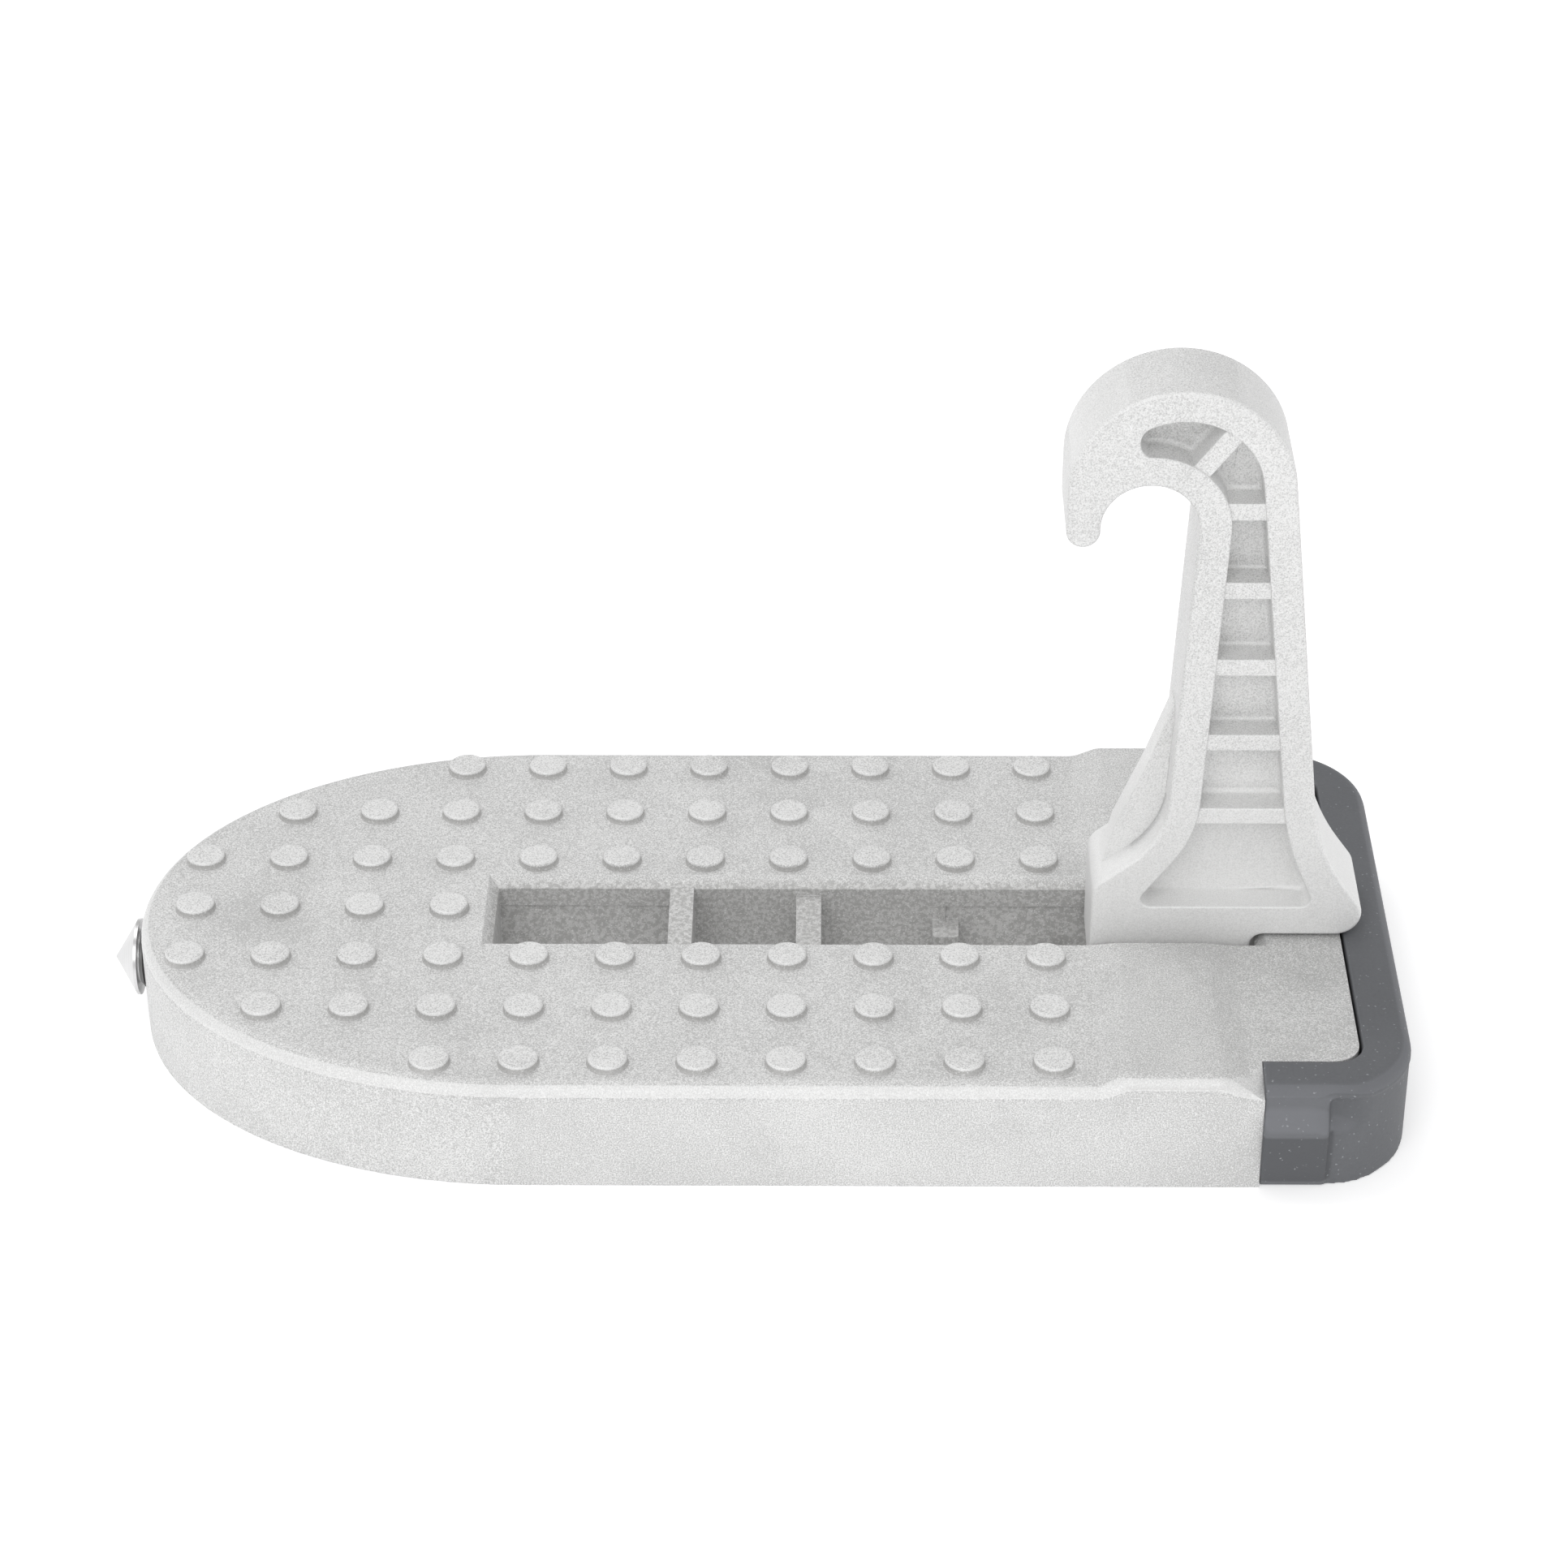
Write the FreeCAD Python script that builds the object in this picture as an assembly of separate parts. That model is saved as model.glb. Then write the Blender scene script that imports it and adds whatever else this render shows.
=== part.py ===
import FreeCAD, Part
import math
import os

# Folding step that hangs on a car door's striker bar, with a breaker tip on its nose.
# Millimetres. X runs from the nose to the bumper, Y across, Z up; the step stands on Z = 0.

Vec = FreeCAD.Vector
X_AXIS = Vec(1, 0, 0)
Y_AXIS = Vec(0, 1, 0)
Z_AXIS = Vec(0, 0, 1)

# --- step plate
step_length = 161.8          # nose to the bumper's end face
step_half_width = 38.2
plate_height = 15.1          # underside to the deck
nose_length = 50.6           # the elliptical part of the outline
deck_edge_radius = 2.0
wall = 3.5                   # outer wall of the hollow casting
skin = 3.6                   # thickness of the deck
fuse_depth = 0.5             # how far ribs and bosses run into what they join
cut_over = 1.0               # how far a cutter runs past the face it opens
rib = 2.2
rib_inset = 1.0              # ribs stop this far above the floor
rib_pitch = 15.2             # the pivot stands midway between two ribs
outer_rib_y = 22.5           # the long ribs each side of the slot

# --- studs on the deck
stud_pitch = 11.0
stud_height = 1.05
stud_top_radius = 2.4
stud_base_radius = 2.65
stud_edge_radius = 0.35
stud_root = 0.5              # sunk in the deck
stud_edge_margin = 4.0       # least distance from a stud's centre to the outline
stud_slot_margin = 3.0       # least distance from a stud's centre to the slot's rim
stud_to_ridge = 5.8          # last row's centre to the foot of the ridge

# --- ridge across the deck under the hook
ridge_height = 1.3
ridge_start = 7.2            # foot of the ridge, this far before the pivot
ridge_rise = 3.1
ridge_flat = 11.5
ridge_fall = 3.6
ridge_blend_radius = 2.5

# --- pivot of the hook
pivot_from_end = 31.8
pivot_drop = 4.45            # below the deck
pin_radius = 3.0
pin_fit = 0.05               # radial clearance of the hook on the pin
pin_seat_fit = 0.02          # radial clearance of the pin in the slot's walls
pin_seat = 5.4               # length of pin in each boss
pin_end_gap = 0.2            # beyond the pin's blind end
pin_chamfer = 0.4
boss_end = 6.5               # boss beyond the slot's wall
cheek = 3.0                  # wall each side of the slot
grub_radius = 2.0            # grub screw that holds the pin from below
grub_length = 5.0
grub_fit = 0.05
grub_socket = 1.15           # half the socket's width over its corners
grub_socket_depth = 2.0
grub_chamfer = 0.3
plug_head_radius = 4.2       # plug in the rear wall's hole for the pin
plug_head_height = 0.7
plug_length = 3.0
plug_edge_radius = 0.5
plug_fit = 0.03

# --- hook
hook_half_width = 6.0
hook_side_clearance = 0.5
web_half_thickness = 1.85
rim = 4.0                    # wall round the pockets of the hook
head_centre_height = 69.55   # above the pivot
head_centre_reach = 1.6      # towards the bumper from the pivot
head_radius = 13.8
throat_radius = 5.95         # takes the striker bar
throat_drop = 4.92           # throat's centre below the head's
throat_reach = 3.72          # throat's centre towards the nose from the head's
tip_straight = 0.45          # between the throat's arc and the tip's
arm_foot_height = 25.0       # above the pivot, where the arm starts to flare
arm_foot_left = 2.06
arm_foot_right = 20.5
flare_end_left = (-2.7, 15.74)     # ends of the arcs that widen the arm into the foot
flare_end_right = (25.4, 12.1)
foot_left_radius = 3.0
foot_right_radius = 3.2
foot_side = 3.0              # height of the foot's upright left side above the heel
hub_radius = 7.1
heel_gap = 0.4               # heel over the deck
fold_angle = 87.5            # degrees that the hook turns, from upright to folded
block_end = 13.5             # part of the foot that goes down into the slot
block_depth = 2.6
block_radius = 1.7
rung_pitch = 11.0
rung_height = 2.4
rung_count = 5
first_rung = 22.9            # above the pivot
rung_recess = 0.35
head_rung_angle = 53.0
head_rung_width = 2.5
head_rung_length = 16.0
foot_pocket_floor = 9.2      # above the pivot
pocket_flare_left = (2.87, 15.87)
pocket_flare_right = (19.52, 13.66)
pocket_corner_radius = 1.2
pocket_end_outer = 115.0     # degrees round the head where the pocket ends
pocket_end_inner = 93.0      # degrees round the throat where the pocket ends
pocket_end_bulge = 1.1

# --- directions, in degrees, of the middle point of each arc of the hook and its pocket
head_top_angle = 95.0
tip_low_angle = 270.0
throat_top_angle = 90.0
hub_low_angle = 225.0
pocket_outer_angle = 70.0
pocket_inner_angle = 45.0
hook_edge_radius = 0.5
gusset_root = 3.0            # inside the arm's left edge
gusset_points = ((2.4, 37.0), (-0.7, 27.9), (-4.3, 18.9), (-5.9, 12.4))

# --- slot for the folded hook, and the bars across it
slot_end_clearance = 0.65    # past the head of the folded hook
slot_chamfer = 1.3
slot_past_block = 0.65       # slot's end beyond the hook's block
slot_step_depth = 4.0        # below the deck, where the slot's walls step back
slot_step = 0.35
near_bar_distance = 43.3     # bar nearer the pivot, from the pivot
near_bar_width = 3.25
near_bar_drop = 2.3          # bar's top below the deck
far_bar_width = 3.1
far_bar_drop = 1.05
far_bar_gap = 0.65           # between the folded hook's tip and the bar
lug_distance = 25.3
lug_width = 3.4
lug_drop = 6.15
lug_edge_radius = 0.6
bar_grip = 1.0               # length of a bar inside each wall of the slot
lug_gusset_gap = 0.75        # each side of the gusset
stop_bar_distance = 10.3     # low bar that the folded hook's foot comes down on
stop_bar_width = 3.0
stop_gap = 0.3

# --- bumper
bumper_depth = 19.1          # along X
bumper_proud = 0.6           # beyond the plate on each side
bumper_corner_radius = 12.0
bumper_side_wall = 6.5
bumper_end_wall = 6.35
bumper_rise = 0.2            # lip above the deck
lip_height = 2.1
lip_overhang = 0.8           # lip beyond the corner below it
lip_edge_radius = 2.0
pad_length = 8.1             # raised pad on each side, along X
pad_crest = 0.55             # how far the pad's crest stands out
pad_crest_height = 8.85
pad_foot_height = 1.15
pad_bevel = 0.6              # at the pad's foot
core_corner_radius = 3.5
relief_length = 6.7          # slope from the ridge down to the bumper, outside the core
relief_drop = 2.2            # below the deck at the plate's side
relief_inset = 1.9           # how far the slope may reach in over the core
relief_end = 0.5             # the slope is measured to a point this far past the bumper's face
core_side_gap = 0.1
core_end_gap = 0.4
flange_height = 4.0
flange_reach = 11.2          # flange under the plate, in from the bumper's inner face
flange_gap = 0.1

# --- bumper screws
screw_y = 21.0
screw_from_end = 13.4
screw_radius = 1.75
screw_head_radius = 3.4
screw_head_height = 1.9
screw_head_edge = 0.7
screw_head_gap = 0.2
screw_point = 0.8
cross_half_length = 2.0
cross_half_width = 0.45
cross_depth = 1.1
screw_end_gap = 0.5          # beyond the screw's point
screw_length = 9.0
screw_fit = 0.08
screw_boss_radius = 4.2
counterbore_depth = 2.3

# --- breaker tip
tip_cone_radius = 5.0
tip_cone_height = 3.0
tip_rim = 0.4
tip_neck = 0.7               # thread showing between the rim and the nose
tip_height = 7.35            # axis above the floor
tip_thread_radius = 4.0
tip_thread_depth = 0.55
tip_thread_pitch = 1.25
tip_thread_turns = 11
tip_thread_flat = 0.125      # half the flat at the thread's root
tip_fit = 0.05
tip_boss_radius = 7.0
tip_boss_length = 15.0
tip_boss_start = 1.0         # inside the nose

# --- places that follow from the sizes
stand_out = tip_cone_height + tip_rim + tip_neck
end_x = (step_length + stand_out) / 2
nose_x = end_x - step_length
ellipse_x = nose_x + nose_length
pivot_x = end_x - pivot_from_end
bumper_x = end_x - bumper_depth
core_end_x = end_x - bumper_end_wall - core_end_gap
bumper_half_width = step_half_width + bumper_proud
bumper_top = plate_height + bumper_rise
pivot_height = plate_height - pivot_drop
lug_gap_half = web_half_thickness + lug_gusset_gap
core_half_width = bumper_half_width - bumper_side_wall - core_side_gap
slot_half = hook_half_width + hook_side_clearance
slot_rim_half = slot_half + slot_chamfer
hook_height = math.hypot(head_centre_reach, head_centre_height) + head_radius
slot_x0 = pivot_x - hook_height - slot_end_clearance
slot_x1 = pivot_x + block_end + slot_past_block
tip_radius = (head_radius - throat_reach - throat_radius) / 2
tip_reach = head_centre_height - throat_drop - tip_straight - tip_radius
far_bar_x = pivot_x - tip_reach + far_bar_gap + far_bar_width / 2
near_bar_x = pivot_x - near_bar_distance
lug_x = pivot_x - lug_distance
ridge_x = pivot_x - ridge_start
deck_end_x = ridge_x + ridge_rise + ridge_flat + ridge_fall
cheek_y = slot_half + cheek
boss_y = slot_half + boss_end
pin_half_length = slot_half + pin_seat
grub_y = slot_half + pin_seat / 2
screw_x = end_x - screw_from_end
heel_z = plate_height + heel_gap - pivot_height
head_centre = (head_centre_reach, head_centre_height)
throat_centre = (head_centre_reach - throat_reach, head_centre_height - throat_drop)


def box(x0, x1, y0, y1, z0, z1):
    return Part.makeBox(x1 - x0, y1 - y0, z1 - z0, Vec(x0, y0, z0))


def cylinder(radius, length, base, direction):
    return Part.makeCylinder(radius, length, base, direction)


def line(a, b):
    return Part.LineSegment(a, b).toShape()


def arc(a, mid, b):
    return Part.Arc(a, mid, b).toShape()


def prism(edges, direction):
    """Closed outline swept straight along a direction."""
    return Part.Face(Part.Wire(Part.__sortEdges__(edges))).extrude(direction)


def polygon(points, direction):
    return Part.Face(Part.makePolygon(points + [points[0]])).extrude(direction)


def mirrored(shape):
    """The same shape on the other side of the middle plane."""
    return shape.mirror(Vec(0, 0, 0), Y_AXIS)


def single(shape):
    """The one solid in a shape, with seams between coplanar faces removed."""
    clean = shape.removeSplitter()
    if len(clean.Solids) != 1:
        raise ValueError("expected one solid, got %d" % len(clean.Solids))
    return clean.Solids[0]


def save(name, shape):
    if not shape.isValid():
        raise ValueError(name + " isn't valid")
    shape.exportStep(os.path.join("parts", name + ".step"))
    print("%-16s solids %2d  volume %9.1f" % (name, len(shape.Solids), shape.Volume))


def nose_arc(reach, half, z):
    """Half an ellipse round the nose, from the left side to the right."""
    centre = Vec(ellipse_x, 0, z)
    tip = Vec(ellipse_x - reach, 0, z)
    if reach >= half:
        ellipse = Part.Ellipse(tip, Vec(ellipse_x, -half, z), centre)
        return Part.ArcOfEllipse(ellipse, -math.pi / 2, math.pi / 2).toShape()
    ellipse = Part.Ellipse(Vec(ellipse_x, half, z), tip, centre)
    return Part.ArcOfEllipse(ellipse, 0, math.pi).toShape()


def bullet(inset, x1, z0, z1):
    """Plan outline of the step: half an ellipse with straight sides, shrunk by inset."""
    half = step_half_width - inset
    nose = nose_arc(nose_length - inset, half, z0)
    left = Vec(ellipse_x, half, z0)
    right = Vec(ellipse_x, -half, z0)
    far_left = Vec(x1, half, z0)
    far_right = Vec(x1, -half, z0)
    edges = [nose, line(left, far_left), line(far_left, far_right), line(far_right, right)]
    return prism(edges, Vec(0, 0, z1 - z0))


def rounded_end(half, x0, x1, radius, z0, z1):
    """Block whose two corners at x1 are rounded."""
    block = box(x0, x1, -half, half, z0, z1)
    corners = []
    for edge in block.Edges:
        middle = edge.CenterOfMass
        if abs(middle.x - x1) < 0.001 and abs(abs(middle.y) - half) < 0.001:
            corners.append(edge)
    return block.makeFillet(radius, corners)


def deck_profile(x0, x1, z0):
    """Side view of the deck with its ridge, as a slab across the whole width."""
    top = plate_height + ridge_height
    across = 4 * step_half_width
    rise_x = ridge_x + ridge_rise
    fall_x = rise_x + ridge_flat
    outline = [
        Vec(x0, -across / 2, z0),
        Vec(x0, -across / 2, plate_height),
        Vec(ridge_x, -across / 2, plate_height),
        Vec(rise_x, -across / 2, top),
        Vec(fall_x, -across / 2, top),
        Vec(deck_end_x, -across / 2, plate_height),
        Vec(x1, -across / 2, plate_height),
        Vec(x1, -across / 2, z0),
    ]
    slab = polygon(outline, Vec(0, across, 0))
    bends = []
    for edge in slab.Edges:
        middle = edge.CenterOfMass
        on_bend = min(abs(middle.x - x) for x in (ridge_x, rise_x, fall_x, deck_end_x)) < 0.001
        if on_bend and abs(middle.y) < 0.001:
            bends.append(edge)
    return slab.makeFillet(ridge_blend_radius, bends)


def deck_edges(shape):
    """Edges where the deck meets the outer wall, round the nose and along both sides."""
    found = []
    for edge in shape.Edges:
        bounds = edge.BoundBox
        on_top = bounds.ZMin > plate_height - 0.01
        on_side = bounds.YMin > step_half_width - 0.01 or bounds.YMax < 0.01 - step_half_width
        on_nose = bounds.XMax < ellipse_x + 0.01
        if on_top and (on_side or on_nose):
            found.append(edge)
    return found


def stud_places():
    """Centres of the studs that fit between the outline, the slot and the ridge."""
    places = []
    last_x = ridge_x - stud_to_ridge
    nose_a = nose_length - stud_edge_margin
    nose_b = step_half_width - stud_edge_margin
    columns = int(step_length / stud_pitch) + 1
    rows = int(step_half_width / stud_pitch) + 1
    for column in range(columns):
        x = last_x - column * stud_pitch
        for row in range(-rows, rows + 1):
            y = row * stud_pitch
            past_nose = min(0.0, x - ellipse_x)
            inside = (past_nose / nose_a) ** 2 + (y / nose_b) ** 2 <= 1
            beside_slot = abs(y) >= slot_rim_half + stud_slot_margin
            before_slot = x <= slot_x0 - slot_chamfer - stud_slot_margin
            if inside and (beside_slot or before_slot):
                places.append((x, y))
    return places


def stud(x, y):
    body = Part.makeCone(stud_base_radius, stud_top_radius, stud_height, Vec(x, y, plate_height))
    top_edge = [edge for edge in body.Edges if edge.BoundBox.ZMin > plate_height + stud_height / 2]
    body = body.makeFillet(stud_edge_radius, top_edge[:1])
    return body.fuse(cylinder(stud_base_radius, stud_root, Vec(x, y, plate_height - stud_root), Z_AXIS))


def plate_ribs():
    """Waffle of ribs under the deck, with a clear bay each side of the pivot for the pin."""
    ribs = []
    reach = step_half_width
    top = plate_height - skin + fuse_depth
    count = int(step_length / rib_pitch) + 1
    for index in range(-count, count):
        x = pivot_x + (index + 0.5) * rib_pitch
        if nose_x + wall < x < core_end_x - wall:
            ribs.append(box(x - rib / 2, x + rib / 2, -reach, reach, rib_inset, top))
    long_end = pivot_x - rib_pitch / 2
    for side in (-1, 1):
        y = side * outer_rib_y
        ribs.append(box(nose_x, long_end, y - rib / 2, y + rib / 2, rib_inset, top))
    ribs.append(box(nose_x, slot_x0, -rib / 2, rib / 2, rib_inset, top))
    return ribs


def slot_cut():
    """The slot, its chamfered rim and the step in its walls."""
    top = plate_height + ridge_height + cut_over
    cut = box(slot_x0, slot_x1, -slot_half, slot_half, -cut_over, top)
    rim_base = plate_height - slot_chamfer
    low = [Vec(slot_x0, -slot_half, rim_base), Vec(slot_x1, -slot_half, rim_base),
           Vec(slot_x1, slot_half, rim_base), Vec(slot_x0, slot_half, rim_base)]
    spread = slot_chamfer + (top - plate_height)
    high = [Vec(slot_x0 - spread, -slot_half - spread, top), Vec(slot_x1 + spread, -slot_half - spread, top),
            Vec(slot_x1 + spread, slot_half + spread, top), Vec(slot_x0 - spread, slot_half + spread, top)]
    rim_cut = Part.makeLoft([Part.makePolygon(low + [low[0]]), Part.makePolygon(high + [high[0]])], True)
    step_top = plate_height - slot_step_depth
    step_half = slot_half + slot_step
    head_pocket = box(slot_x0, far_bar_x, -step_half, step_half, -cut_over, step_top)
    foot_pocket = box(lug_x, slot_x1, -step_half, step_half, -cut_over, step_top)
    return cut.multiFuse([rim_cut, head_pocket, foot_pocket])


def slot_bars():
    """Bars across the slot, and a pair of lugs with a gap for the gusset."""
    across = slot_half + bar_grip
    far_bar = box(far_bar_x - far_bar_width / 2, far_bar_x + far_bar_width / 2, -across, across,
                  rib_inset, plate_height - far_bar_drop)
    near_bar = box(near_bar_x - near_bar_width / 2, near_bar_x + near_bar_width / 2, -across, across,
                   rib_inset, plate_height - near_bar_drop)
    lug = box(lug_x - lug_width / 2, lug_x + lug_width / 2, lug_gap_half, across,
              rib_inset, plate_height - lug_drop)
    uprights = []
    for edge in lug.Edges:
        middle = edge.CenterOfMass
        if abs(middle.y - lug_gap_half) < 0.001 and abs(middle.x - lug_x) > 0.1:
            uprights.append(edge)
    lug = lug.makeFillet(lug_edge_radius, uprights)
    stop_top = pivot_height + folded((-hub_radius, heel_z + foot_side))[1] - stop_gap
    stop_x = pivot_x - stop_bar_distance
    stop_bar = box(stop_x - stop_bar_width / 2, stop_x + stop_bar_width / 2, -across, across,
                   rib_inset, stop_top)
    return [far_bar, near_bar, stop_bar, lug, mirrored(lug)]


def side_relief():
    """Slopes that take the deck's edge down under the front of the bumper's lip."""
    start = Vec(bumper_x - relief_length, -step_half_width - cut_over, plate_height + ridge_height)
    low = Vec(bumper_x + relief_end, -step_half_width - cut_over, plate_height - relief_drop)
    inner = Vec(bumper_x + relief_end, -core_half_width, plate_height)
    normal = (low - start).cross(inner - start)
    normal.normalize()
    if normal.z < 0:
        normal = normal * -1
    span = bumper_depth
    slab = box(-span, span, -span, span, 0, span / 2)
    slab.Placement = FreeCAD.Placement(start, FreeCAD.Rotation(Z_AXIS, normal))
    limit = box(bumper_x - 2 * relief_length, bumper_x, -2 * step_half_width,
                relief_inset - core_half_width, 0, 2 * plate_height)
    cut = slab.common(limit)
    return [cut, mirrored(cut)]


def make_plate():
    top = plate_height + ridge_height
    body = bullet(0, bumper_x, 0, top)
    core = rounded_end(core_half_width, ellipse_x, core_end_x, core_corner_radius, 0, top)
    body = body.common(deck_profile(nose_x - cut_over, end_x + cut_over, -cut_over))
    body = body.makeFillet(deck_edge_radius, deck_edges(body))
    body = body.fuse(core.common(deck_profile(nose_x - cut_over, end_x + cut_over, -cut_over)))
    body = body.cut(side_relief()[0]).cut(side_relief()[1])

    hollow = bullet(wall, bumper_x - wall, -cut_over, plate_height - skin)
    core_hollow = box(ellipse_x, core_end_x - wall, -core_half_width + wall, core_half_width - wall,
                      -cut_over, plate_height - skin)
    inside = hollow.fuse(core_hollow)
    filling = [box(slot_x0 - cheek, slot_x1 + cheek, -cheek_y, cheek_y, 0, plate_height - skin + fuse_depth)]
    filling += plate_ribs()
    filling.append(box(pivot_x - rib_pitch / 2, pivot_x + rib_pitch / 2, -boss_y, boss_y,
                       0, plate_height - skin + fuse_depth))
    tip_boss = cylinder(tip_boss_radius, tip_boss_length, Vec(nose_x + tip_boss_start, 0, tip_height), X_AXIS)
    filling.append(tip_boss.common(box(nose_x, end_x, -tip_boss_radius, tip_boss_radius, 0, plate_height)))
    for side in (-1, 1):
        boss_base = Vec(screw_x, side * screw_y, 0)
        filling.append(cylinder(screw_boss_radius, plate_height - skin + fuse_depth, boss_base, Z_AXIS))
    inside = inside.cut(filling[0].multiFuse(filling[1:]))
    body = body.cut(inside)

    flange_room = box(end_x - bumper_end_wall - flange_reach - flange_gap, end_x,
                      -core_half_width - cut_over, core_half_width + cut_over,
                      -cut_over, flange_height + flange_gap)
    body = body.cut(flange_room)
    body = body.cut(slot_cut())
    body = body.multiFuse(slot_bars())
    body = body.multiFuse([stud(x, y) for x, y in stud_places()])

    pin_start = -pin_half_length - pin_end_gap
    bores = [cylinder(pin_radius + pin_seat_fit, step_half_width + cut_over - pin_start,
                      Vec(pivot_x, pin_start, pivot_height), Y_AXIS)]
    bores.append(cylinder(grub_radius + grub_fit, pivot_height, Vec(pivot_x, grub_y, 0), Z_AXIS))
    tip_depth = tip_thread_pitch * tip_thread_turns + tip_fit
    tip_mouth = Vec(nose_x - tip_neck, 0, tip_height)
    bores.append(cylinder(tip_thread_radius + tip_fit, tip_depth, tip_mouth, X_AXIS))
    for side in (-1, 1):
        hole_base = Vec(screw_x, side * screw_y, 0)
        depth = counterbore_depth + screw_length - screw_head_height + screw_end_gap
        bores.append(cylinder(screw_radius + screw_fit, depth, hole_base, Z_AXIS))
    return single(body.cut(bores[0].multiFuse(bores[1:])))


def at_pivot(point, y=0.0):
    """A point of the hook's side view, given from the pivot, at a place across the width."""
    return Vec(pivot_x + point[0], y, pivot_height + point[1])


def tangent_point(centre, radius, point, side):
    """Where the straight line through a point touches a circle, on the side asked for."""
    across = point[0] - centre[0]
    up = point[1] - centre[1]
    angle = math.atan2(up, across) + side * math.acos(radius / math.hypot(across, up))
    return (centre[0] + radius * math.cos(angle), centre[1] + radius * math.sin(angle))


def flare(before, start, end):
    """Arc that leaves a line without a corner: its middle point and its direction at the end."""
    length = math.hypot(start[0] - before[0], start[1] - before[1])
    along = ((start[0] - before[0]) / length, (start[1] - before[1]) / length)
    step = (end[0] - start[0], end[1] - start[1])
    turn = 2 * (math.atan2(step[1], step[0]) - math.atan2(along[1], along[0]))
    chord = math.hypot(step[0], step[1])
    rise = chord / 2 * math.tan(turn / 4)
    middle = ((start[0] + end[0]) / 2 + rise * step[1] / chord,
              (start[1] + end[1]) / 2 - rise * step[0] / chord)
    leave = math.atan2(along[1], along[0]) + turn
    return middle, (math.cos(leave), math.sin(leave))


def reach_height(point, direction, height):
    """Where a line from a point comes to a height."""
    return (point[0] + direction[0] / direction[1] * (height - point[1]), height)


def folded(point):
    """Where a point of the hook's side view goes when the hook is folded."""
    turn = math.radians(fold_angle)
    return (point[0] * math.cos(turn) - point[1] * math.sin(turn),
            point[0] * math.sin(turn) + point[1] * math.cos(turn))


def on_circle(centre, radius, degrees):
    turn = math.radians(degrees)
    return (centre[0] + radius * math.cos(turn), centre[1] + radius * math.sin(turn))


def hook_outline(y):
    """Side view of the hook, and the corners in it that are rounded afterwards."""
    tip_x = head_centre_reach - head_radius + tip_radius
    tip_centre = (tip_x, tip_reach + tip_radius)
    tip_left = on_circle(tip_centre, tip_radius, 180)
    tip_right = on_circle(tip_centre, tip_radius, 0)
    head_left = on_circle(head_centre, head_radius, 180)
    throat_left = on_circle(throat_centre, throat_radius, 180)
    left_foot = (arm_foot_left, arm_foot_height)
    right_foot = (arm_foot_right, arm_foot_height)
    left_leave = tangent_point(throat_centre, throat_radius, left_foot, 1)
    right_leave = tangent_point(head_centre, head_radius, right_foot, 1)
    left_middle, left_way = flare(left_leave, left_foot, flare_end_left)
    right_middle, right_way = flare(right_leave, right_foot, flare_end_right)
    left_rise = left_way[1] / left_way[0] * (-hub_radius - flare_end_left[0])
    left_corner = (-hub_radius, flare_end_left[1] + left_rise)
    right_corner = reach_height(flare_end_right, right_way, heel_z)
    block_top = (block_end, heel_z)
    block_corner = (block_end, heel_z - block_depth)
    hub_left = (-hub_radius, 0)
    hub_leave = tangent_point((0, 0), hub_radius, block_corner, -1)
    def place(point):
        return at_pivot(point, y)

    edges = [
        line(place(block_top), place(right_corner)),
        line(place(right_corner), place(flare_end_right)),
        arc(place(flare_end_right), place(right_middle), place(right_foot)),
        line(place(right_foot), place(right_leave)),
        arc(place(right_leave), place(on_circle(head_centre, head_radius, head_top_angle)), place(head_left)),
        line(place(head_left), place(tip_left)),
        arc(place(tip_left), place(on_circle(tip_centre, tip_radius, tip_low_angle)), place(tip_right)),
        line(place(tip_right), place(throat_left)),
        arc(place(throat_left), place(on_circle(throat_centre, throat_radius, throat_top_angle)),
            place(left_leave)),
        line(place(left_leave), place(left_foot)),
        arc(place(left_foot), place(left_middle), place(flare_end_left)),
        line(place(flare_end_left), place(left_corner)),
        line(place(left_corner), place(hub_left)),
        arc(place(hub_left), place(on_circle((0, 0), hub_radius, hub_low_angle)), place(hub_leave)),
        line(place(hub_leave), place(block_corner)),
        line(place(block_corner), place(block_top)),
    ]
    rounds = [(left_corner, foot_left_radius), (right_corner, foot_right_radius), (block_top, block_radius)]
    return edges, rounds


def hook_blank():
    """Full-thickness hook with its outline's corners rounded."""
    edges, rounds = hook_outline(-hook_half_width)
    blank = prism(edges, Vec(0, 2 * hook_half_width, 0))
    for point, radius in rounds:
        place = at_pivot(point)
        corner = [edge for edge in blank.Edges
                  if abs(edge.CenterOfMass.x - place.x) < 0.01 and abs(edge.CenterOfMass.z - place.z) < 0.01]
        blank = blank.makeFillet(radius, corner)
    return blank


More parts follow.
